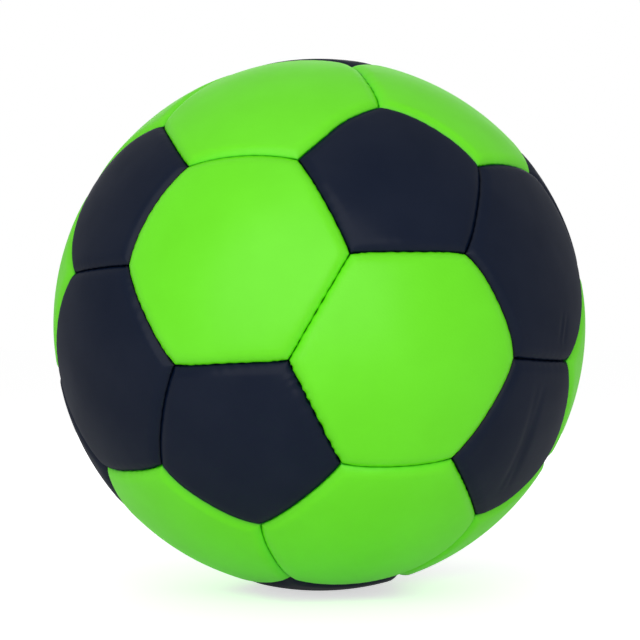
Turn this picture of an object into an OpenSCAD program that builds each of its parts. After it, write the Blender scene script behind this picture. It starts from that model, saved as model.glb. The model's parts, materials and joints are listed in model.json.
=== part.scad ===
// Hand-stitched handball: 32 laminated panels, sewn edge to edge over a bladder.
// The origin is the ball's centre, +Z is up, and the ball is seen from -Y.

/* [Ball] */
// Girth of the inflated ball, which is the adult match size
girth = 590; // [560:1:620]
// Turn of the panel layout about Y, in degrees
roll = 30.8; // [0:0.1:72]
// Tilt of the panel layout away from the viewer, in degrees
tilt = 3.5; // [0:0.1:36]

/* [Skin] */
// Thickness of the synthetic leather
skin_t = 1.2; // [0.9:0.05:1.5]
// Radius of the rolled shoulder along each seam
shoulder_r = 2.4; // [1.8:0.1:2.8]
// How far the shoulder's arc passes the crown and the seam face
shoulder_bite = 0.08; // [0.05:0.01:0.12]
// Gap between the turned-in flanges of two neighbours
seam_gap = 0.1; // [0.06:0.02:0.2]

/* [Backing] */
// Thickness of the foam pad behind the skin
foam_t = 1.8; // [1.5:0.1:2.4]
// Thickness of the woven lining behind the foam
lining_t = 1; // [0.8:0.1:1.4]
// Glue line between layers
glue_gap = 0.05; // [0.03:0.01:0.08]

/* [Seam] */
// Distance from one stitch to the next
stitch_pitch = 4.4; // [3.8:0.1:6]
// Depth of the stitch line below the crown
stitch_depth = 2.95; // [2.7:0.05:3.2]
// Diameter of the needle holes in the flanges
stitch_hole_d = 0.7; // [0.65:0.05:0.9]
// Diameter of a stitch where it crosses the seam
stitch_d = 0.55; // [0.4:0.05:0.55]
// Diameter of the waxed thread along the flanges
thread_d = 0.9; // [0.85:0.05:1]
// How much of the thread is pressed flat against the flange
thread_flat = 0.13; // [0.13:0.01:0.2]
// Room between the thread and the foam
thread_room = 0.3; // [0.2:0.05:0.6]

/* [Bladder] */
// Thickness of the bladder's wall
bladder_t = 0.9; // [0.7:0.1:1.4]
// Gap between the bladder and the linings
bladder_gap = 0.1; // [0.06:0.02:0.2]

/* [Valve] */
// Hole in the valve panel's skin
mouth_d = 7; // [6.6:0.2:8]
// Button of the seat that fills the mouth
button_d = 6.8; // [6.2:0.1:6.9]
// How far the button lies below the crown
button_sink = 0.3; // [0.2:0.1:0.6]
// Neck of the seat, through bladder, lining and foam
neck_d = 9.4; // [9:0.1:10.4]
// Room round the neck in the foam and the lining
neck_room = 0.3; // [0.2:0.05:0.5]
// Flange of the seat, bonded inside the bladder
seat_flange_d = 24; // [18:1:30]
// Thickness of the seat's flange at its middle
seat_flange_t = 1.6; // [1.4:0.1:2.4]
// Length of the seat's tube below its flange
seat_tube_l = 6; // [5:0.5:10]
// Body of the plug that closes the seat
core_d = 4.4; // [4:0.1:4.6]
// Head of the plug
core_head_d = 5.6; // [5.2:0.1:5.8]
// Thickness of the plug's head
core_head_t = 1; // [0.8:0.1:1.4]
// Barb that locks the plug in the seat
barb_d = 5.6; // [5.2:0.1:6.2]
// Height of the barb
barb_t = 1.6; // [1.2:0.1:2]
// Running gap between the plug and the seat
core_gap = 0.05; // [0.03:0.01:0.08]
// Hole for the inflation needle
needle_hole_d = 2.2; // [2.1:0.05:2.4]
// Depth of the needle hole
needle_hole_l = 6; // [4:0.5:8]

/* [Hidden] */
$fn = 96;

// Sizes that follow from the ball
ball_r = girth / (2 * PI);
overrun = skin_t;
half_gap = seam_gap / 2;
flange_in = half_gap + skin_t;
foam_out_r = ball_r - skin_t - glue_gap;
foam_in_r = foam_out_r - foam_t;
lining_out_r = foam_in_r - glue_gap;
lining_in_r = lining_out_r - lining_t;
bladder_out_r = lining_in_r - bladder_gap;
bladder_in_r = bladder_out_r - bladder_t;
run_in = flange_in + glue_gap + thread_d / 2 - thread_flat;
pad_in = run_in + thread_d / 2 + thread_room;
stitch_r = ball_r - stitch_depth;

// The ball is a truncated icosahedron blown up to a sphere
golden = (1 + sqrt(5)) / 2;
corner_ratio = sqrt(9 * golden + 10) / 2;
edge_angle = 2 * asin(1 / (2 * corner_ratio));
edge_l = edge_angle * PI / 180 * ball_r;
stitches = round(edge_l / stitch_pitch);
stitch_step = edge_angle / stitches;
ring_angle = edge_angle * 3 / 2;

// Angle from the middle of a panel to the middle of its side
function corner_angle(sides) = asin(1 / (2 * sin(180 / sides)) / corner_ratio);
function side_angle(sides) = atan(tan(corner_angle(sides)) * cos(180 / sides));

// Panel middles: pentagons on three golden rectangles, hexagons on a dodecahedron
function unit(v) = v / norm(v);
function shifted(v, k) = [v[(3 - k) % 3], v[(4 - k) % 3], v[(5 - k) % 3]];
signs = [1, -1];
pentagons = [for (s = signs, t = signs, k = [0:2]) unit(shifted([0, s * golden, t], k))];
corners = [for (x = signs, y = signs, z = signs) [x, y, z]];
navy_corners = [for (c = corners) if (c.x * c.y * c.z < 0) unit(c)];
green_corners = [for (c = corners) if (c.x * c.y * c.z > 0) unit(c)];
belt = [for (s = signs, t = signs, k = [0:2]) unit(shifted([0, s / golden, t * golden], k))];
valve_middle = unit([-1 / golden, golden, 0]);
plain_belt = [for (b = belt) if (b * valve_middle < cos(1)) b];
green_hexagons = concat(green_corners, plain_belt);
hexagons = concat(navy_corners, green_hexagons, [valve_middle]);
near_cos = cos(side_angle(5) + side_angle(6) + 1);
ribs = [for (i = [0:11], j = [0:11]) if (i < j && pentagons[i] * pentagons[j] > 0) [i, j]];

// A pentagon beside a panel, or a hexagon beside a pentagon, marks its first side
function beside(middle, others) = [for (o = others) if (o * middle > near_cos) o][0];
function first_side(middle, sides) = beside(middle, sides == 5 ? hexagons : pentagons);

// Turns the whole layout as the ball lies
module as_it_lies() {
    rotate([-tilt, 0, 0]) rotate([0, roll, 0]) children();
}

// Frame with Z through one direction and X towards another
module towards(z, side) {
    x = unit(side - (side * z) * z);
    y = cross(z, x);
    multmatrix([
        [x.x, y.x, z.x, 0],
        [x.y, y.y, z.y, 0],
        [x.z, y.z, z.z, 0],
        [0, 0, 0, 1]
    ]) children();
}

module at_panel(middle, sides) {
    as_it_lies() towards(middle, first_side(middle, sides)) children();
}

// Frame of one side: Z through its middle, X square to its seam and outwards
module at_side(k, sides) {
    rotate([0, 0, k * 360 / sides]) rotate([0, side_angle(sides), 0]) children();
}

// A sphere whose poles lie away from the panel
module round_ball(r) {
    rotate([90, 0, 0]) sphere(r);
}

// All that lies outside the seam planes, each moved in by the inset
module outside(sides, inset) {
    for (k = [0:sides - 1])
        at_side(k, sides)
            translate([-inset, -2 * ball_r, -2 * ball_r])
                cube([4 * ball_r, 4 * ball_r, 4 * ball_r]);
}

// What the rolled shoulder takes off along one side
module shoulder_waste() {
    reach = shoulder_r - shoulder_bite;
    rotate([0, -90, 0])
        rotate([0, 0, -ring_angle / 2])
            rotate_extrude(angle = ring_angle)
                difference() {
                    translate([ball_r - reach, -overrun])
                        square([reach + overrun, overrun + half_gap + reach]);
                    translate([ball_r - reach, half_gap + reach])
                        circle(shoulder_r);
                }
}

// Places things at the stitches of a side
module at_stitches() {
    for (i = [0:stitches - 1])
        rotate([(i - (stitches - 1) / 2) * stitch_step, 0, 0])
            translate([0, 0, stitch_r])
                rotate([0, 90, 0])
                    children();
}

// One panel's skin: a crowned face, rolled shoulders and turned-in, punched flanges
module skin(sides) {
    difference() {
        round_ball(ball_r);
        outside(sides, half_gap);
        for (k = [0:sides - 1])
            at_side(k, sides) {
                shoulder_waste();
                at_stitches()
                    translate([0, 0, -flange_in - overrun])
                        cylinder(h = flange_in + 2 * overrun, d = stitch_hole_d);
            }
        difference() {
            round_ball(ball_r - skin_t);
            outside(sides, flange_in);
        }
        round_ball(lining_in_r);
    }
}

// One layer that lies inside the flanges
module pad(sides, outer_r, inner_r) {
    difference() {
        round_ball(outer_r);
        outside(sides, pad_in);
        round_ball(inner_r);
    }
}

module neck_hole(d) {
    cylinder(h = ball_r + overrun, d = d);
}

module navy_pentagon(i) {
    color("#20242f") at_panel(pentagons[i], 5) skin(5);
}

module navy_hexagon(i) {
    color("#20242f") at_panel(navy_corners[i], 6) skin(6);
}

module green_hexagon(i) {
    color("#75ef35") at_panel(green_hexagons[i], 6) skin(6);
}

module valve_panel() {
    color("#75ef35")
        at_panel(valve_middle, 6)
            difference() {
                skin(6);
                neck_hole(mouth_d);
            }
}

module hexagon_pads(outer_r, inner_r) {
    for (middle = concat(navy_corners, green_hexagons))
        at_panel(middle, 6) pad(6, outer_r, inner_r);
    at_panel(valve_middle, 6)
        difference() {
            pad(6, outer_r, inner_r);
            neck_hole(neck_d + 2 * neck_room);
        }
}

module pentagon_foams() {
    color("#e6dfc8")
        for (middle = pentagons)
            at_panel(middle, 5) pad(5, foam_out_r, foam_in_r);
}

module hexagon_foams() {
    color("#e6dfc8") hexagon_pads(foam_out_r, foam_in_r);
}

module pentagon_linings() {
    color("#f2f1ec")
        for (middle = pentagons)
            at_panel(middle, 5) pad(5, lining_out_r, lining_in_r);
}

module hexagon_linings() {
    color("#f2f1ec") hexagon_pads(lining_out_r, lining_in_r);
}

// The thread behind one flange: round, with the side on the flange pressed flat
module thread_run() {
    run_angle = (stitches - 1) * stitch_step + asin(thread_d / stitch_r);
    rotate([0, -90, 0])
        rotate([0, 0, -run_angle / 2])
            rotate_extrude(angle = run_angle)
                translate([stitch_r, 0])
                    difference() {
                        circle(d = thread_d, $fn = 24);
                        translate([-thread_d, -thread_d - thread_d / 2 + thread_flat])
                            square([2 * thread_d, thread_d]);
                    }
}

// Saddle stitch of one seam: a run behind each flange, joined by the crossing stitches
module saddle_stitch() {
    translate([-run_in, 0, 0]) thread_run();
    translate([run_in, 0, 0]) mirror([1, 0, 0]) thread_run();
    at_stitches()
        translate([0, 0, -run_in])
            cylinder(h = 2 * run_in, d = stitch_d, $fn = 24);
}

module pentagon_seam_thread() {
    color("#3a3f38")
        for (middle = pentagons)
            at_panel(middle, 5)
                for (k = [0:4])
                    at_side(k, 5) saddle_stitch();
}

// A seam between two hexagons lies on the line from one pentagon to the next
module hexagon_seam_thread() {
    color("#3a3f38")
        for (rib = ribs) {
            a = pentagons[rib[0]];
            b = pentagons[rib[1]];
            as_it_lies() towards(unit(a + b), unit(cross(a, b))) saddle_stitch();
        }
}

module bladder() {
    color("#1b1b1c")
        at_panel(valve_middle, 6)
            difference() {
                round_ball(bladder_out_r);
                round_ball(bladder_in_r);
                neck_hole(neck_d + 2 * glue_gap);
            }
}

// Heights in the valve, from the ball's centre
button_top = ball_r - button_sink;
neck_top = foam_out_r - glue_gap - neck_d * neck_d / (8 * ball_r);
flange_low = bladder_in_r - glue_gap - seat_flange_t;
tube_low = flange_low - seat_tube_l;
barb_low = tube_low + seat_tube_l / 3;

module valve_seat() {
    color("#2a2a2b")
        at_panel(valve_middle, 6)
            difference() {
                union() {
                    translate([0, 0, tube_low])
                        cylinder(h = neck_top - tube_low, d = neck_d);
                    translate([0, 0, tube_low])
                        cylinder(h = button_top - tube_low, d = button_d);
                    intersection() {
                        round_ball(bladder_in_r - glue_gap, $fn = 4 * $fn);
                        translate([0, 0, flange_low])
                            cylinder(h = 2 * seat_flange_t, d = seat_flange_d);
                    }
                }
                translate([0, 0, tube_low - overrun])
                    cylinder(h = button_top - tube_low + 2 * overrun, d = core_d + 2 * core_gap);
                translate([0, 0, button_top - core_head_t - core_gap])
                    cylinder(h = core_head_t + core_gap + overrun, d = core_head_d + 2 * core_gap);
                translate([0, 0, barb_low - core_gap])
                    cylinder(h = barb_t + 2 * core_gap, d = barb_d + 2 * core_gap);
            }
}

module valve_core() {
    color("#141415")
        at_panel(valve_middle, 6)
            difference() {
                union() {
                    translate([0, 0, tube_low])
                        cylinder(h = button_top - tube_low, d = core_d);
                    translate([0, 0, button_top - core_head_t])
                        cylinder(h = core_head_t, d = core_head_d);
                    translate([0, 0, barb_low])
                        cylinder(h = barb_t, d = barb_d);
                }
                translate([0, 0, button_top - needle_hole_l])
                    cylinder(h = needle_hole_l + overrun, d = needle_hole_d);
            }
}

for (i = [0:len(pentagons) - 1])
    navy_pentagon(i);
for (i = [0:len(navy_corners) - 1])
    navy_hexagon(i);
for (i = [0:len(green_hexagons) - 1])
    green_hexagon(i);
valve_panel();
pentagon_foams();
hexagon_foams();
pentagon_linings();
hexagon_linings();
pentagon_seam_thread();
hexagon_seam_thread();
bladder();
valve_seat();
valve_core();
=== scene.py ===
import json
import math

import bpy
import numpy as np
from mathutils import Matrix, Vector, noise

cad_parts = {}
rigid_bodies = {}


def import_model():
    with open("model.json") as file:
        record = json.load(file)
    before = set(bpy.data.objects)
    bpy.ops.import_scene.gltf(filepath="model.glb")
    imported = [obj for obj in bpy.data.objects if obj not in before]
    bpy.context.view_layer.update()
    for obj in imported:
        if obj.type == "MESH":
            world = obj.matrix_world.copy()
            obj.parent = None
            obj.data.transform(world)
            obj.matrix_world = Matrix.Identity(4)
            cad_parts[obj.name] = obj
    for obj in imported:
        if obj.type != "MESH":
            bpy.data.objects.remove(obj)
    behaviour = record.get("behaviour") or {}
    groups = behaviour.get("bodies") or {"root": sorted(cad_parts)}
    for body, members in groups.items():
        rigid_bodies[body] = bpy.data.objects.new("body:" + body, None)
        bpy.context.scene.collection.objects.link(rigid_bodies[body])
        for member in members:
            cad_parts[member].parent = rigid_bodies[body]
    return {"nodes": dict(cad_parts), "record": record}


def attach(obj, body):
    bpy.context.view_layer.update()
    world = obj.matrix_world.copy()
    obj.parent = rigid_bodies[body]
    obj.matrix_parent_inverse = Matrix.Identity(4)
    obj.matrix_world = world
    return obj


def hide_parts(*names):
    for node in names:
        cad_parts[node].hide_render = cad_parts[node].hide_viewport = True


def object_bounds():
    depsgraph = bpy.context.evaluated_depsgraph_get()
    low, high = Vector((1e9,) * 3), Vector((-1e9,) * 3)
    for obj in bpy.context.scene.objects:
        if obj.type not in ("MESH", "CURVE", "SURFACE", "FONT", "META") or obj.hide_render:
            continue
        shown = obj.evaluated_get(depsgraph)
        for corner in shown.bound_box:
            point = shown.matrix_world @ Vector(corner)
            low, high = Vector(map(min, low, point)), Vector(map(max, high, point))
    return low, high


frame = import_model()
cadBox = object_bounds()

nodes = frame["nodes"]
record = frame["record"]
slotOf = {s["node"]: s["material_slot"] for s in record["subparts"]}
mm = 0.001


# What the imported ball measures, in metres
def reachOf(nodeName):
    reach = [v.co.length for v in nodes[nodeName].data.vertices]
    return min(reach), max(reach)


flangeTip, ballRadius = reachOf("navy_pentagon_1")
skinNodes = [n for n in nodes if n.startswith(("navy_", "green_", "valve_panel"))]
print("ball radius", round(ballRadius / mm, 2), "mm, flange tip", round(flangeTip / mm, 2), "mm")


cameraSetup = {
    "lens": 100.2,             # mm
    "sensor": 36,              # mm
    "nearest": 0.01,
    "distance": 6.77,          # in ball radii, from the ball's middle
    "shift": (0.001, 0.0073),  # share of the frame
}
studio = {
    "worldStrength": 0.40,
    "floorColour": (0.93, 0.93, 0.93, 1),
    "floorRoughness": 0.9,
    "floorGlow": 0.62,
    "floorSize": 12.0,
}
lamps = {
    # name: (place in ball radii, size in ball radii, watts)
    "front": ((-1.0, -8.8, 1.6), 13.5, 5.4),
    "top": ((-1.0, -3.0, 8.0), 5.0, 0.2),
    "back": ((0.0, 8.8, 2.5), 8.0, 2.0),
}


def addCamera():
    cameraData = bpy.data.cameras.new("camera")
    cameraData.lens = cameraSetup["lens"]
    cameraData.sensor_width = cameraSetup["sensor"]
    cameraData.shift_x, cameraData.shift_y = cameraSetup["shift"]
    cameraData.clip_start = cameraSetup["nearest"]
    camera = bpy.data.objects.new("camera", cameraData)
    camera.location = (0, -cameraSetup["distance"] * ballRadius, 0)
    camera.rotation_euler = (math.pi / 2, 0, 0)
    bpy.context.scene.collection.objects.link(camera)
    bpy.context.scene.camera = camera


def addLamp(name, place, size, watts):
    lampData = bpy.data.lights.new(name, "AREA")
    lampData.shape = "DISK"
    lampData.size = size * ballRadius
    lampData.energy = watts
    lamp = bpy.data.objects.new(name, lampData)
    lamp.location = Vector(place) * ballRadius
    lamp.rotation_euler = (-lamp.location).to_track_quat("-Z", "Y").to_euler()
    bpy.context.scene.collection.objects.link(lamp)


def seenRays(tree):
    # 1 where the camera, a mirror or a glass looks, 0 for the light itself
    path = tree.nodes.new("ShaderNodeLightPath")
    either = path.outputs["Is Camera Ray"]
    for ray in ("Is Glossy Ray", "Is Transmission Ray"):
        both = tree.nodes.new("ShaderNodeMath")
        both.operation = "MAXIMUM"
        tree.links.new(either, both.inputs[0])
        tree.links.new(path.outputs[ray], both.inputs[1])
        either = both.outputs[0]
    return either


def lightWorld():
    world = bpy.data.worlds.new("studio")
    bpy.context.scene.world = world
    world.use_nodes = True
    tree = world.node_tree
    background = tree.nodes["Background"]
    background.inputs["Color"].default_value = (1, 1, 1, 1)
    strength = tree.nodes.new("ShaderNodeMapRange")
    strength.inputs["To Min"].default_value = studio["worldStrength"]
    strength.inputs["To Max"].default_value = 1
    tree.links.new(seenRays(tree), strength.inputs["Value"])
    tree.links.new(strength.outputs["Result"], background.inputs["Strength"])


def addFloor():
    bpy.ops.object.select_all(action="DESELECT")
    bpy.ops.mesh.primitive_plane_add(size=studio["floorSize"], location=(0, 0, cadBox[0].z))
    floor = bpy.context.object
    floor.name = "studioFloor"
    paper = bpy.data.materials.new("studioPaper")
    paper.use_nodes = True
    tree = paper.node_tree
    shader = tree.nodes["Principled BSDF"]
    shader.inputs["Base Color"].default_value = studio["floorColour"]
    shader.inputs["Roughness"].default_value = studio["floorRoughness"]
    shader.inputs["Specular IOR Level"].default_value = 0
    shader.inputs["Emission Color"].default_value = (1, 1, 1, 1)
    glow = tree.nodes.new("ShaderNodeMath")
    glow.operation = "MULTIPLY"
    glow.inputs[1].default_value = studio["floorGlow"]
    tree.links.new(seenRays(tree), glow.inputs[0])
    tree.links.new(glow.outputs[0], shader.inputs["Emission Strength"])
    floor.data.materials.append(paper)


bpy.context.scene.view_settings.view_transform = "Standard"
addCamera()
for lampName, setting in lamps.items():
    addLamp(lampName, *setting)
lightWorld()
addFloor()
print("camera, lamps and floor are up")


# How the skins and the foam pads are cut, in metres
skinCut = {
    "fromSeam": 0.00005,      # half the gap between two flanges
    "rows": (0.00015, 0.00025, 0.0004, 0.0006, 0.0008, 0.001, 0.0012, 0.0014, 0.0016),
    "pointsPerSide": 54,
    "thickness": 0.0011,
    "creaseAngle": 50,        # degrees, past which an edge stays sharp
    "flangeSteps": (0.3, 1),  # how far down the flange each of its rows ends
    "mouth": 0.0035,          # radius of the valve's mouth
    "fill": 1,
}
padCut = {
    "fromSeam": 0.0024,
    "rows": (0.0004, 0.0006, 0.0010, 0.0016),
    "pointsPerSide": 18,
    "roundedRim": 0.0003,
    "rimSegments": 2,
    "creaseAngle": 50,        # degrees, past which an edge is rounded or stays sharp
    "leastHeight": 0.0004,    # where the seams squeeze it most
    "neckRoom": 0.005,        # radius of the room round the valve's neck
    "neckSides": 48,
    "fill": 0.9,
}
# How the padded skin rolls down to its seams and is pulled by the stitches
seamShape = {
    "rollWidth": 0.0037,      # how far the padded edge rolls in from the seam
    "rollDepth": 0.0019,      # how deep it meets its neighbour
    "rollShape": 1.5,         # 2 is a round edge, a lower value slopes more evenly
    "cornerSharpness": 6,     # a lower value rounds the corners more
    "cornerDip": 0.0003,      # how much deeper the seams lie where three meet
    "cornerReach": 0.008,
    "pitDepth": 0.0001,       # the small pit right where they meet
    "pitReach": 0.0022,
    "stitches": 9,            # along one side
    "cornerPull": 0.0002,     # how far a panel's corner is drawn back there
    "pinch": 0.00016,         # how much a stitch pulls the edge down
    "pinchReach": 0.0016,
    "pucker": 0.00002,        # the faint ridges that run in from the stitches
    "puckerReach": 0.005,
    "wander": 0.00012,        # how far a stitch pulls the seam aside
    "wanderReach": 0.0025,
    "uneven": 0.9,            # how much one stitch differs from the next
    "unevenGrain": 40,        # how quickly that changes round the ball
    "jitter": 0.35,           # how far a stitch lies off its place, in stitches
    "jitterBeat": 1.9,        # how quickly that changes along a side
    "jitterSeed": (13, 29, 47),   # starts it elsewhere on each side
    "strength": (0.6, 0.6),   # how strongly a side's stitches pull: the mean and the swing
    "strengthGrain": 7,
    "bow": 0.0012,            # how far a hidden seam may bow to one side
    "bowGrain": 9,
    "bowReach": 0.009,
    "shiftReach": 0.013,
    "closest": 0.00001,       # a point on a seam counts as this far from it
}
# Seams that bow away from the first panel towards the second, by how much they bow, in mm
bowSizes = {"none": 0, "faint": 0.5, "soft": 1.1, "clear": 1.7, "wide": 3.2}
bowed = {
    "none": [
        ("green_hexagon_10", "green_hexagon_15"), ("navy_pentagon_10", "green_hexagon_10"),
        ("navy_pentagon_12", "navy_hexagon_4"), ("navy_pentagon_6", "green_hexagon_2"),
        ("navy_pentagon_6", "navy_hexagon_2"),
    ],
    "faint": [
        ("green_hexagon_15", "navy_pentagon_7"), ("green_hexagon_10", "navy_pentagon_7"),
        ("green_hexagon_15", "navy_pentagon_10"), ("green_hexagon_4", "navy_pentagon_12"),
    ],
    "soft": [
        ("navy_pentagon_7", "green_hexagon_4"), ("navy_pentagon_10", "navy_hexagon_4"),
        ("navy_pentagon_10", "green_hexagon_2"), ("green_hexagon_15", "green_hexagon_4"),
        ("green_hexagon_15", "navy_hexagon_4"), ("green_hexagon_10", "green_hexagon_2"),
        ("green_hexagon_10", "navy_pentagon_6"), ("navy_hexagon_2", "green_hexagon_11"),
    ],
    "clear": [
        ("navy_pentagon_7", "navy_hexagon_2"), ("green_hexagon_15", "navy_pentagon_12"),
        ("navy_hexagon_4", "green_hexagon_13"), ("green_hexagon_4", "green_hexagon_11"),
        ("green_hexagon_2", "green_hexagon_13"), ("green_hexagon_13", "navy_pentagon_8"),
        ("green_hexagon_4", "green_hexagon_9"),
    ],
    "wide": [
        ("navy_pentagon_7", "green_hexagon_11"), ("navy_pentagon_10", "green_hexagon_13"),
        ("green_hexagon_10", "navy_hexagon_2"), ("navy_hexagon_2", "navy_pentagon_2"),
        ("navy_hexagon_2", "green_hexagon_6"), ("green_hexagon_4", "navy_pentagon_5"),
        ("green_hexagon_2", "navy_pentagon_8"), ("green_hexagon_2", "green_hexagon_12"),
        ("navy_pentagon_6", "green_hexagon_6"), ("navy_pentagon_6", "green_hexagon_12"),
        ("navy_pentagon_12", "green_hexagon_9"), ("navy_pentagon_12", "green_hexagon_14"),
        ("navy_hexagon_4", "green_hexagon_14"), ("navy_hexagon_4", "navy_pentagon_11"),
    ],
}
seamBows = {pair: bowSizes[size] for size, pairs in bowed.items() for pair in pairs}
# Where three panels meet off the true layout: the panels, and the way there in mm
cornerShifts = {
    ("navy_pentagon_7", "green_hexagon_10", "navy_hexagon_2"): (1, 1, 1),
    ("navy_pentagon_7", "green_hexagon_4", "green_hexagon_11"): (1, 0.5, 0),
    ("navy_pentagon_7", "green_hexagon_11", "navy_hexagon_2"): (1.5, 1, 0),
    ("navy_pentagon_7", "green_hexagon_15", "green_hexagon_10"): (0, 0, 0.5),
    ("navy_pentagon_12", "green_hexagon_14", "navy_hexagon_4"): (1, -1.5, 0.5),
    ("navy_pentagon_12", "green_hexagon_9", "green_hexagon_4"): (-0.5, -2, -1),
    ("navy_pentagon_10", "navy_hexagon_4", "green_hexagon_15"): (-0.5, 0.5, -1),
    ("navy_pentagon_10", "green_hexagon_15", "green_hexagon_10"): (0, 0, -0.5),
    ("navy_pentagon_10", "navy_hexagon_4", "green_hexagon_13"): (-0.5, 1, -1),
    ("navy_pentagon_10", "green_hexagon_10", "green_hexagon_2"): (0, 0.5, -1),
    ("navy_pentagon_10", "green_hexagon_13", "green_hexagon_2"): (-0.5, 1, -1),
    ("navy_pentagon_6", "green_hexagon_10", "navy_hexagon_2"): (1, 1, 0),
    ("navy_pentagon_5", "green_hexagon_4", "green_hexagon_11"): (2, 1, 0),
    ("navy_pentagon_8", "green_hexagon_13", "green_hexagon_2"): (-1, 2, -1),
    ("navy_pentagon_11", "navy_hexagon_4", "green_hexagon_13"): (0, 2, -1.5),
    ("navy_pentagon_2", "green_hexagon_11", "navy_hexagon_2"): (0, 2, 1),
}
# The corners at the rim of the view lie further back: their panels, and how far in mm
rimCorners = [
    ("navy_pentagon_2", "navy_hexagon_2", "green_hexagon_6"),
    ("navy_pentagon_6", "green_hexagon_6", "green_hexagon_12"),
    ("navy_pentagon_12", "green_hexagon_9", "green_hexagon_14"),
    ("navy_pentagon_11", "navy_hexagon_4", "green_hexagon_14"),
]
rimCornerBack = 2.4
cornerShifts.update({trio: (0, rimCornerBack, 0) for trio in rimCorners})
# Sides whose stitches pull harder than the others, and how hard
strongStitches = {("navy_pentagon_10", "green_hexagon_10"): 1.9}
# Places where the sewing pulls the skin aside: on the ball's round, which way in mm, and reach
pulls = [
    ((0.009, -0.772, 0.635), (0.6, 0.0, -0.9), 0.008),
]
# Soft ridges in the skin: the ends on the ball's round, how high and how wide
folds = [
    ((0.766, -0.611, -0.198), (0.637, -0.488, -0.597), 0.00055, 0.0021),
    ((0.867, -0.496, 0.052), (0.847, -0.525, -0.082), 0.00024, 0.0017),
]
golden = (1 + math.sqrt(5)) / 2
# The primitive stands on a corner, which lies this far from the layout's own axis
cornerTurn = math.degrees(math.atan(1 / golden))
ballTurn = {"roll": 30.8, "tilt": 3.5}   # degrees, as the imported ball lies
sameLevel = 1e-6             # corners of the flat blank's inset rows this close are on one row
sameCorner = 0.01            # corners this close on a ball of radius 1 are one


def activate(piece):
    bpy.ops.object.select_all(action="DESELECT")
    piece.select_set(True)
    bpy.context.view_layer.objects.active = piece


def applyModifier(piece, name):
    activate(piece)
    bpy.ops.object.modifier_apply(modifier=name)


def pointsOf(piece):
    points = np.empty(len(piece.data.vertices) * 3)
    piece.data.vertices.foreach_get("co", points)
    return points.reshape(-1, 3)


def movePoints(piece, points):
    piece.data.vertices.foreach_set("co", points.ravel())
    piece.data.update()


def lengthsOf(vectors):
    return np.linalg.norm(vectors, axis=1)[:, None]


def middleOf(piece):
    return Vector(pointsOf(piece).mean(0)).normalized()


def centreOf(corners):
    return sum(corners, Vector()).normalized()


def cutBlanks():
    # A ball of flat faces: a 20-sided one with its corners planed off, then cut apart
    bpy.ops.object.select_all(action="DESELECT")
    # so big that the corners left by the planing lie on the ball's round
    icoRadius = ballRadius / math.sqrt(5 / 9 + 4 / 9 / math.sqrt(5))
    bpy.ops.mesh.primitive_ico_sphere_add(subdivisions=1, radius=icoRadius)
    bpy.context.object.name = "blank"
    bpy.ops.object.mode_set(mode="EDIT")
    bpy.ops.mesh.select_all(action="SELECT")
    bpy.ops.mesh.bevel(offset_type="PERCENT", offset_pct=100 / 3, segments=1, affect="VERTICES")
    bpy.ops.mesh.select_all(action="SELECT")
    for axis, degrees in (("Y", ballTurn["roll"] - cornerTurn), ("X", -ballTurn["tilt"])):
        # with no window the operator turns the other way
        bpy.ops.transform.rotate(
            value=-math.radians(degrees), orient_axis=axis, center_override=(0, 0, 0))
    bpy.ops.mesh.edge_split(type="EDGE")
    bpy.ops.mesh.separate(type="LOOSE")
    bpy.ops.object.mode_set(mode="OBJECT")
    return [o for o in bpy.context.scene.objects if o.name.startswith("blank")]


def copyOf(piece, name):
    activate(piece)
    bpy.ops.object.duplicate()
    bpy.context.object.name = name
    return bpy.context.object


def selectEdges(panel, wanted):
    bpy.ops.object.mode_set(mode="OBJECT")
    for edge in panel.data.edges:
        edge.select = wanted(edge)
    bpy.ops.object.mode_set(mode="EDIT")


def insetRows(panel, cut):
    # Rows of faces along the seams, with points all along them
    activate(panel)
    bpy.ops.object.mode_set(mode="EDIT")
    bpy.ops.mesh.select_mode(type="VERT")
    bpy.ops.mesh.select_all(action="SELECT")
    bpy.ops.mesh.inset(thickness=cut["fromSeam"])
    bpy.ops.mesh.select_all(action="INVERT")
    bpy.ops.mesh.delete(type="VERT")
    bpy.ops.mesh.select_all(action="SELECT")
    for row in cut["rows"]:
        bpy.ops.mesh.inset(thickness=row)
    bpy.ops.mesh.select_mode(type="EDGE")
    bpy.ops.object.mode_set(mode="OBJECT")
    reach = [v.co.length for v in panel.data.vertices]
    selectEdges(panel, lambda e: abs(reach[e.vertices[0]] - reach[e.vertices[1]]) < sameLevel)
    bpy.ops.mesh.subdivide(number_cuts=cut["pointsPerSide"] - 1)
    bpy.ops.mesh.select_all(action="DESELECT")
    bpy.ops.object.mode_set(mode="OBJECT")


def gridMiddle(panel, cut):
    # The one large face left in the middle becomes a grid
    inner = max(panel.data.polygons, key=lambda p: len(p.vertices))
    rim = set(inner.edge_keys)
    inner.select = True
    bpy.ops.object.mode_set(mode="EDIT")
    bpy.ops.mesh.delete(type="ONLY_FACE")
    selectEdges(panel, lambda e: e.key in rim)
    bpy.ops.mesh.fill_grid(span=cut["pointsPerSide"], use_interp_simple=True)


def faceOutward(panel):
    bpy.ops.mesh.select_all(action="SELECT")
    bpy.ops.mesh.normals_make_consistent(inside=False)
    bpy.ops.object.mode_set(mode="OBJECT")
    if panel.data.polygons[0].normal.dot(middleOf(panel)) < 0:
        bpy.ops.object.mode_set(mode="EDIT")
        bpy.ops.mesh.flip_normals()
        bpy.ops.object.mode_set(mode="OBJECT")


def meshPanel(panel, cut):
    insetRows(panel, cut)
    gridMiddle(panel, cut)
    faceOutward(panel)
    blow = panel.modifiers.new("blow", "CAST")
    blow.factor = 1
    blow.size = ballRadius
    blow.use_radius_as_size = False
    applyModifier(panel, "blow")


def nodesNear(spot, count):
    return sorted(middles, key=lambda n: -middles[n].dot(spot))[:count]


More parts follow.
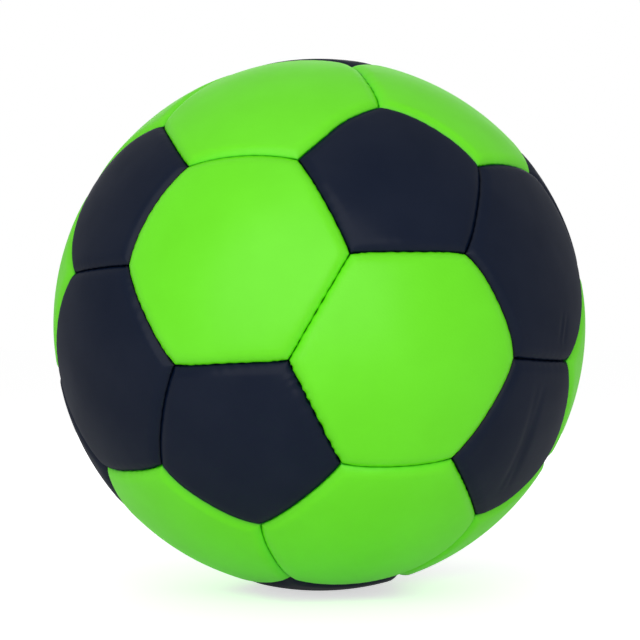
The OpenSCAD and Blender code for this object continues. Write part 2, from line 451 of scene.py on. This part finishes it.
def valueOf(table, names, otherwise):
    # The value for a seam, and the panel that it leans away from
    for pair, value in table.items():
        if set(pair) == set(names):
            return value, pair[0]
    return otherwise, names[0]


def sidesOf(corners):
    # Each side of a panel: the way in from it, its middle, the way along it and its angle
    middle = centreOf(corners)
    level = middle.cross(corners[0]).normalized()
    ahead = level.cross(middle)
    around = sorted(corners, key=lambda c: math.atan2(c.dot(level), c.dot(ahead)))
    sides = []
    for first, last in zip(around, around[1:] + around[:1]):
        inward = first.cross(last).normalized()
        if inward.dot(middle) < 0:
            inward.negate()
        half = (first + last).normalized()
        names = sorted(nodesNear(half, 2))
        loose = seamShape["bow"] / mm * noise.noise(half * seamShape["bowGrain"])
        bow, leftBehind = valueOf(seamBows, names, loose)
        way = -inward if inward.dot(middles[leftBehind]) > 0 else inward
        mean, swing = seamShape["strength"]
        usual = mean + swing * noise.noise(half * seamShape["strengthGrain"])
        strength = valueOf(strongStitches, names, usual)[0]
        sides.append({
            "inward": np.array(inward), "half": np.array(half),
            "along": np.array(inward.cross(half)), "angle": first.angle(last),
            "bow": np.array(way) * bow * mm, "strength": strength})
    return sides


def shiftOf(corner):
    for trio, way in cornerShifts.items():
        if set(trio) == set(nodesNear(corner, 3)):
            return np.array(way) * mm
    return np.zeros(3)


def alongSeam(points, side):
    # How far each point lies from a seam, and where along it, from -1 to 1
    turn = np.arctan2(points @ side["along"], points @ side["half"])
    return points @ side["inward"], turn / (side["angle"] / 2)


def bell(gap, reach):
    return np.exp(-(gap / reach) ** 2)


def seamDrift(points):
    # One smooth shift of the whole ball, so neighbours still meet on their seams
    shift = np.zeros_like(points)
    for seam in seams.values():
        away, place = alongSeam(points, seam)
        pull = np.clip(1 - place ** 2, 0, 1) * bell(away, seamShape["bowReach"])
        shift += pull[:, None] * seam["bow"]
    for corner, way in cornerWays:
        if way.any():
            gap = lengthsOf(points - corner * ballRadius)
            shift += bell(gap, seamShape["shiftReach"]) * way
    for spot, way, reach in pulls:
        gap = lengthsOf(points - np.array(spot) * ballRadius)
        shift += bell(gap, reach) * np.array(way) * mm
    return shift


def rollDown(points, sides, corners):
    # How deep the panel lies below the ball's round, and how near its seam, from 0 to 1
    sharpness = seamShape["cornerSharpness"]
    aways = [np.maximum(points @ side["inward"], seamShape["closest"]) for side in sides]
    near = sum(away ** -sharpness for away in aways)
    rolled = np.clip(1 - near ** (-1 / sharpness) / seamShape["rollWidth"], 0, 1)
    shape = seamShape["rollShape"]
    dip = seamShape["rollDepth"] * (1 - (1 - rolled ** shape) ** (1 / shape))
    for corner in corners:
        gap = lengthsOf(points - np.array(corner) * ballRadius)[:, 0]
        dip += seamShape["cornerDip"] * bell(gap, seamShape["cornerReach"])
        dip += seamShape["pitDepth"] * bell(gap, seamShape["pitReach"])
    for first, last, depth, width in folds:
        start = np.array(first) * ballRadius
        run = np.array(last) * ballRadius - start
        share = np.clip((points - start) @ run / (run @ run), 0, 1)
        apart = (lengthsOf(points - start - share[:, None] * run)[:, 0] / width) ** 2
        dip += depth * np.sin(np.pi * share) * apart * np.exp(1 - apart)
    return dip, rolled


def pullStitches(cut, side):
    # How deep the stitches along one side pull each point, and how far aside
    away, place = alongSeam(cut, side)
    away = np.maximum(away, 0)
    count = seamShape["stitches"]
    stitch = place * count / 2
    fade = np.clip(count - 2 * np.abs(stitch), 0, 1)
    # the needle never goes in at quite even steps
    seed = float(side["half"] @ seamShape["jitterSeed"])
    stitch = stitch + seamShape["jitter"] * np.sin(stitch * seamShape["jitterBeat"] * place + seed)
    number = np.rint(stitch)
    uneven = np.ones(len(cut))
    for n in np.unique(number[fade > 0]):
        turn = n * side["angle"] / count
        spot = Vector(side["half"] * math.cos(turn) + side["along"] * math.sin(turn))
        change = noise.noise(spot * seamShape["unevenGrain"])
        uneven[number == n] = 1 + seamShape["uneven"] * change
    pull = fade * uneven * side["strength"]
    beat = 2 * np.pi * stitch
    pinch = seamShape["pinch"] * (0.5 + 0.5 * np.cos(beat)) * np.exp(-away / seamShape["pinchReach"])
    pucker = seamShape["pucker"] * np.cos(beat) * np.exp(-away / seamShape["puckerReach"])
    wander = seamShape["wander"] * np.sin(beat) * np.exp(-away / seamShape["wanderReach"])
    return pull * (pinch + pucker), (pull * wander)[:, None] * side["inward"]


def sewPanel(panel, sides, corners):
    # Each side rolls down to its seam, and the stitches pinch it
    cut = pointsOf(panel)
    shift = seamDrift(cut)
    dip, rolled = rollDown(cut, sides, corners)
    for side in sides:
        deeper, aside = pullStitches(cut, side)
        dip += deeper
        shift += aside
    middle = np.array(centreOf(corners)) * ballRadius
    for corner in corners:
        spot = np.array(corner) * ballRadius
        gap = lengthsOf(cut - spot)
        back = (middle - spot) / np.linalg.norm(middle - spot) * seamShape["cornerPull"]
        shift += bell(gap, seamShape["pitReach"]) * back
    moved = cut + shift
    moved *= (ballRadius - np.maximum(dip, 0))[:, None] / lengthsOf(moved)
    for name, kind, values in (("cutPlace", "FLOAT_VECTOR", cut), ("seamNear", "FLOAT", rolled)):
        mark = panel.data.attributes.new(name, kind, "POINT")
        mark.data.foreach_set("vector" if kind == "FLOAT_VECTOR" else "value",
                              values.astype(np.float32).ravel())
    movePoints(panel, moved)


def turnInFlange(panel):
    # The edge runs down to the flange's tip, which lies where the panel was cut
    activate(panel)
    bpy.ops.object.mode_set(mode="EDIT")
    bpy.ops.mesh.select_mode(type="VERT")
    bpy.ops.mesh.select_all(action="DESELECT")
    bpy.ops.mesh.select_non_manifold()
    for share in skinCut["flangeSteps"]:
        bpy.ops.mesh.extrude_edges_move()
        bpy.ops.object.mode_set(mode="OBJECT")
        cutPlace = panel.data.attributes["cutPlace"].data
        for vertex in panel.data.vertices:
            if vertex.select:
                tip = cutPlace[vertex.index].vector.normalized() * flangeTip
                vertex.co = vertex.co.lerp(tip, share)
        bpy.ops.object.mode_set(mode="EDIT")
    bpy.ops.object.mode_set(mode="OBJECT")
    panel.data.attributes.remove(panel.data.attributes["cutPlace"])


def punchMouth(panel, axis, radius):
    # The faces over the valve go, and the edge left round them is drawn to a circle
    activate(panel)
    bpy.ops.object.mode_set(mode="EDIT")
    bpy.ops.mesh.select_mode(type="FACE")
    bpy.ops.mesh.select_all(action="DESELECT")
    bpy.ops.object.mode_set(mode="OBJECT")
    for face in panel.data.polygons:
        face.select = face.center.cross(axis).length < radius and face.center.dot(axis) > 0
    bpy.ops.object.mode_set(mode="EDIT")
    bpy.ops.mesh.delete(type="FACE")
    bpy.ops.mesh.select_mode(type="VERT")
    bpy.ops.mesh.select_non_manifold()
    bpy.ops.object.mode_set(mode="OBJECT")
    for vertex in panel.data.vertices:
        off = vertex.co - axis * vertex.co.dot(axis)
        if vertex.select and off.length < 2 * radius and vertex.co.dot(axis) > 0:
            vertex.co += off * (radius / off.length - 1)
            vertex.co *= ballRadius / vertex.co.length


def thickenPanel(panel):
    skin = panel.modifiers.new("skin", "SOLIDIFY")
    skin.thickness = skinCut["thickness"]
    skin.offset = -1
    applyModifier(panel, "skin")
    bpy.ops.object.shade_smooth_by_angle(angle=math.radians(skinCut["creaseAngle"]))


def boreRoom(pad, axis, radius):
    activate(pad)
    bpy.ops.object.select_all(action="DESELECT")
    bpy.ops.mesh.primitive_cylinder_add(
        vertices=padCut["neckSides"], radius=radius, depth=ballRadius, location=axis * ballRadius,
        rotation=axis.to_track_quat("Z", "Y").to_euler())
    cutter = bpy.context.object
    bore = pad.modifiers.new("bore", "BOOLEAN")
    bore.operation = "DIFFERENCE"
    bore.solver = "EXACT"
    bore.object = cutter
    applyModifier(pad, "bore")
    bpy.data.objects.remove(cutter)


def layPad(pad, sides, corners, bored):
    # The foam fills the room under its skin, and the seams squeeze its rim
    meshPanel(pad, padCut)
    movePoints(pad, pointsOf(pad) * padOuter / ballRadius)
    thick = pad.modifiers.new("thick", "SOLIDIFY")
    thick.thickness = padOuter - padInner
    thick.offset = -1
    applyModifier(pad, "thick")
    rim = pad.modifiers.new("rim", "BEVEL")
    rim.width = padCut["roundedRim"]
    rim.segments = padCut["rimSegments"]
    rim.limit_method = "ANGLE"
    rim.angle_limit = math.radians(padCut["creaseAngle"])
    applyModifier(pad, "rim")
    if bored:
        boreRoom(pad, centreOf(corners), padCut["neckRoom"])
    laid = pointsOf(pad)
    reach = lengthsOf(laid)
    above = laid / reach * ballRadius
    dip = rollDown(above, sides, corners)[0][:, None]
    height = (reach - padInner) / (padOuter - padInner)
    squeezed = padInner + height * np.maximum(padOuter - padInner - dip, padCut["leastHeight"])
    lean = (reach - flangeTip) / (ballRadius - flangeTip)
    moved = laid + seamDrift(above) * lean
    movePoints(pad, moved * squeezed / lengthsOf(moved))
    activate(pad)
    bpy.ops.object.shade_smooth_by_angle(angle=math.radians(padCut["creaseAngle"]))


def plainName(nodeName):
    first, *rest = nodeName.split("_")
    return first + "".join(word.capitalize() for word in rest)


def dress(piece, nodeName):
    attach(piece, "root")
    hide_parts(nodeName)


middles = {name: middleOf(nodes[name]) for name in skinNodes}
blanks = {}
seams = {}
cornerWays = []
for blank in cutBlanks():
    corners = [v.co.normalized() for v in blank.data.vertices]
    nodeName = nodesNear(centreOf(corners), 1)[0]
    sides = sidesOf(corners)
    blanks[nodeName] = (blank, sides, corners)
    # a seam is met from both its panels and kept once; adding 0 makes a -0 a 0
    seams.update({tuple(side["half"].round(3) + 0.0): side for side in sides})
    for corner in corners:
        if not any((corner - Vector(c)).length < sameCorner for c, way in cornerWays):
            cornerWays.append((np.array(corner), shiftOf(corner)))
print(len(blanks), "blanks,", len(seams), "seams,", len(cornerWays), "corners")

padInner, padOuter = reachOf("pentagon_foams")
padsOf = {"pentagon_foams": [], "hexagon_foams": []}
for nodeName, (blank, sides, corners) in blanks.items():
    kind = "pentagon_foams" if len(corners) == 5 else "hexagon_foams"
    pad = copyOf(blank, plainName(nodeName) + "Foam")
    layPad(pad, sides, corners, nodeName == "valve_panel")
    padsOf[kind].append(pad)
pads = {}
for kind, laid in padsOf.items():
    pads[kind] = laid[0]
    activate(pads[kind])
    for pad in laid:
        pad.select_set(True)
    bpy.ops.object.join()
    pads[kind].name = plainName(kind)
    dress(pads[kind], kind)
print("foam pads laid,", sum(len(p.data.polygons) for p in pads.values()), "faces")

panels = {}
for nodeName, (panel, sides, corners) in blanks.items():
    panel.name = plainName(nodeName)
    meshPanel(panel, skinCut)
    sewPanel(panel, sides, corners)
    turnInFlange(panel)
    if nodeName == "valve_panel":
        punchMouth(panel, centreOf(corners), skinCut["mouth"])
    thickenPanel(panel)
    dress(panel, nodeName)
    panels[nodeName] = panel
print(len(panels), "panels sewn,", sum(len(p.data.polygons) for p in panels.values()), "faces")


leather = {
    # where along the roll, from the flat (0) to the seam (1), and the colour there; the darker
    # colours near the seam are painted shade of the seam's groove
    "green": {"colours": ((0.30, (0.172, 0.90, 0.012)), (0.80, (0.160, 0.89, 0.010)),
                          (0.92, (0.135, 0.84, 0.006)), (0.965, (0.050, 0.60, 0.003)),
                          (1.0, (0.008, 0.32, 0.001))),
              "coat": (0.22, 0.32), "coatRoughness": 0.34, "roughness": 0.50},
    "navy": {"colours": ((0.25, (0.0020, 0.0068, 0.0228)), (0.85, (0.0020, 0.0068, 0.0228)),
                         (0.94, (0.0020, 0.0048, 0.0140)), (1.0, (0.0010, 0.0022, 0.0060))),
             "coat": (0.08, 0.14), "coatRoughness": 0.28, "roughness": 0.60},
    "coatIor": 1.9,
    "grainSize": 0.0007,
    "grainDepth": 0.00002,
    "cloudSize": 0.02,
    "shades": (0.93, 1.05),             # how much the clouds darken and lighten the colour
    "roughnessChange": (-0.05, 0.07),
}


def patternGroup(name, pattern, source, result, settings):
    # A pattern of a given size on the piece's own coordinates, from 0 to 1
    group = bpy.data.node_groups.new(name, "ShaderNodeTree")
    for socket, way in (("Size", "INPUT"), (result, "OUTPUT")):
        group.interface.new_socket(socket, in_out=way, socket_type="NodeSocketFloat")
    entry = group.nodes.new("NodeGroupInput")
    leave = group.nodes.new("NodeGroupOutput")
    coords = group.nodes.new("ShaderNodeTexCoord")
    scale = group.nodes.new("ShaderNodeMath")
    scale.operation = "DIVIDE"
    scale.inputs[0].default_value = 1
    texture = group.nodes.new(pattern)
    for setting, value in settings.items():
        if setting in texture.inputs:
            texture.inputs[setting].default_value = value
        else:
            setattr(texture, setting, value)
    group.links.new(entry.outputs["Size"], scale.inputs[1])
    group.links.new(coords.outputs["Object"], texture.inputs["Vector"])
    group.links.new(scale.outputs[0], texture.inputs["Scale"])
    group.links.new(texture.outputs[source], leave.inputs[result])
    return group


def addGroup(tree, group, size):
    node = tree.nodes.new("ShaderNodeGroup")
    node.node_tree = group
    node.inputs["Size"].default_value = size
    return node


def spread(tree, value, low, high):
    step = tree.nodes.new("ShaderNodeMapRange")
    step.inputs["To Min"].default_value = low
    step.inputs["To Max"].default_value = high
    tree.links.new(value, step.inputs["Value"])
    return step.outputs["Result"]


def tinted(tree, colour, shade):
    tint = tree.nodes.new("ShaderNodeVectorMath")
    tint.operation = "SCALE"
    tree.links.new(colour, tint.inputs[0])
    tree.links.new(shade, tint.inputs["Scale"])
    return tint.outputs["Vector"]


def newMaterial(name):
    material = bpy.data.materials.new(name)
    material.use_nodes = True
    tree = material.node_tree
    return material, tree, tree.nodes["Principled BSDF"]


def addBump(tree, shader, height, depth):
    bump = tree.nodes.new("ShaderNodeBump")
    bump.inputs["Distance"].default_value = depth
    tree.links.new(height, bump.inputs["Height"])
    tree.links.new(bump.outputs["Normal"], shader.inputs["Normal"])


def rampFrom(tree, value, stops):
    ramp = tree.nodes.new("ShaderNodeValToRGB")
    elements = ramp.color_ramp.elements
    while len(elements) < len(stops):
        elements.new(0.5)
    for element, (where, colour) in zip(elements, stops):
        element.position = where
        element.color = (*colour, 1)
    tree.links.new(value, ramp.inputs["Fac"])
    return ramp.outputs["Color"]


def leatherMaterial(name, finish):
    material, tree, shader = newMaterial(name)
    near = tree.nodes.new("ShaderNodeAttribute")
    near.attribute_name = "seamNear"
    cloud = addGroup(tree, mottle, leather["cloudSize"]).outputs["Cloud"]
    # the ramp darkens the colour towards the seam: painted shade of the groove
    colour = rampFrom(tree, near.outputs["Fac"], finish["colours"])
    shade = spread(tree, cloud, *leather["shades"])
    tree.links.new(tinted(tree, colour, shade), shader.inputs["Base Color"])
    rough = [finish["roughness"] + change for change in leather["roughnessChange"]]
    tree.links.new(spread(tree, cloud, *rough), shader.inputs["Roughness"])
    # all the shine is the coat's, so that pale rims stay dark enough
    shader.inputs["Specular IOR Level"].default_value = 0
    tree.links.new(spread(tree, cloud, *finish["coat"]), shader.inputs["Coat Weight"])
    shader.inputs["Coat Roughness"].default_value = finish["coatRoughness"]
    shader.inputs["Coat IOR"].default_value = leather["coatIor"]
    grain = addGroup(tree, pebbles, leather["grainSize"]).outputs["Height"]
    addBump(tree, shader, grain, leather["grainDepth"])
    return material


# Soft clouds, and rounded cells such as leather grain or open foam has
mottle = patternGroup("softMottle", "ShaderNodeTexNoise", "Fac", "Cloud", {"Detail": 4})
pebbles = patternGroup(
    "pebbles", "ShaderNodeTexVoronoi", "Distance", "Height", {"feature": "SMOOTH_F1"})
skins = {
    "green_skin": leatherMaterial("greenLeather", leather["green"]),
    "navy_skin": leatherMaterial("navyLeather", leather["navy"]),
}


# What lies under the skins: dark colour, pale colour, grain size and depth, roughness
innerFinishes = {
    "foam": {"dark": (0.66, 0.60, 0.44), "pale": (0.83, 0.78, 0.62),
             "grain": (0.0009, 0.0002), "roughness": 0.9},
    "lining": {"dark": (0.74, 0.73, 0.68), "pale": (0.91, 0.90, 0.86), "woven": True,
               "grain": (0.0011, 0.00012), "roughness": 0.85},
    "thread": {"dark": (0.022, 0.027, 0.021), "pale": (0.044, 0.052, 0.042),
               "grain": (0.0005, 0.00008), "roughness": 0.6},
    "bladder_rubber": {"dark": (0.008, 0.008, 0.009), "pale": (0.017, 0.017, 0.018),
                       "grain": (0.0025, 0.00004), "roughness": 0.62},
    "valve_rubber": {"dark": (0.017, 0.017, 0.018), "pale": (0.030, 0.030, 0.031),
                     "grain": (0.0006, 0.00003), "roughness": 0.58},
    "core_rubber": {"dark": (0.005, 0.005, 0.0055), "pale": (0.011, 0.011, 0.0115),
                    "grain": (0.0004, 0.00002), "roughness": 0.5},
}
innerCloud = {"size": 0.012, "share": 0.5, "roughnessChange": (-0.06, 0.06)}
# How far apart a wave texture's threads lie at scale 1, and how far they stray
weaving = {"apart": 0.31, "stray": 0.6}


def weaveHeight(tree, size):
    # Two sets of threads that cross, one along the other's valleys
    coords = tree.nodes.new("ShaderNodeTexCoord")
    sets = []
    for direction in ("X", "Z"):
        wave = tree.nodes.new("ShaderNodeTexWave")
        wave.bands_direction = direction
        wave.inputs["Scale"].default_value = weaving["apart"] / size
        wave.inputs["Distortion"].default_value = weaving["stray"]
        tree.links.new(coords.outputs["Object"], wave.inputs["Vector"])
        sets.append(wave.outputs["Fac"])
    weave = tree.nodes.new("ShaderNodeMath")
    weave.operation = "MAXIMUM"
    tree.links.new(sets[0], weave.inputs[0])
    tree.links.new(sets[1], weave.inputs[1])
    return weave.outputs[0]


def innerMaterial(name, finish):
    material, tree, shader = newMaterial(name)
    size, depth = finish["grain"]
    cloud = addGroup(tree, mottle, innerCloud["size"]).outputs["Cloud"]
    if "woven" in finish:
        grain = weaveHeight(tree, size)
    else:
        grain = addGroup(tree, pebbles, size).outputs["Height"]
    shading = tree.nodes.new("ShaderNodeMath")
    shading.operation = "MULTIPLY_ADD"
    shading.inputs[1].default_value = 1 - innerCloud["share"]
    tree.links.new(grain, shading.inputs[0])
    tree.links.new(spread(tree, cloud, 0, innerCloud["share"]), shading.inputs[2])
    colour = tree.nodes.new("ShaderNodeMix")
    colour.data_type = "RGBA"
    colour.inputs["A"].default_value = (*finish["dark"], 1)
    colour.inputs["B"].default_value = (*finish["pale"], 1)
    tree.links.new(shading.outputs[0], colour.inputs["Factor"])
    tree.links.new(colour.outputs["Result"], shader.inputs["Base Color"])
    rough = [finish["roughness"] + change for change in innerCloud["roughnessChange"]]
    tree.links.new(spread(tree, cloud, *rough), shader.inputs["Roughness"])
    addBump(tree, shader, grain, depth)
    return material


def wear(piece, material):
    piece.data.materials.clear()
    piece.data.materials.append(material)


for nodeName, panel in panels.items():
    wear(panel, skins[slotOf[nodeName]])
inner = {slot: innerMaterial(plainName(slot), finish) for slot, finish in innerFinishes.items()}
for nodeName in nodes:
    if nodeName not in panels:
        wear(pads.get(nodeName, nodes[nodeName]), inner[slotOf[nodeName]])
print("every piece has its finish")
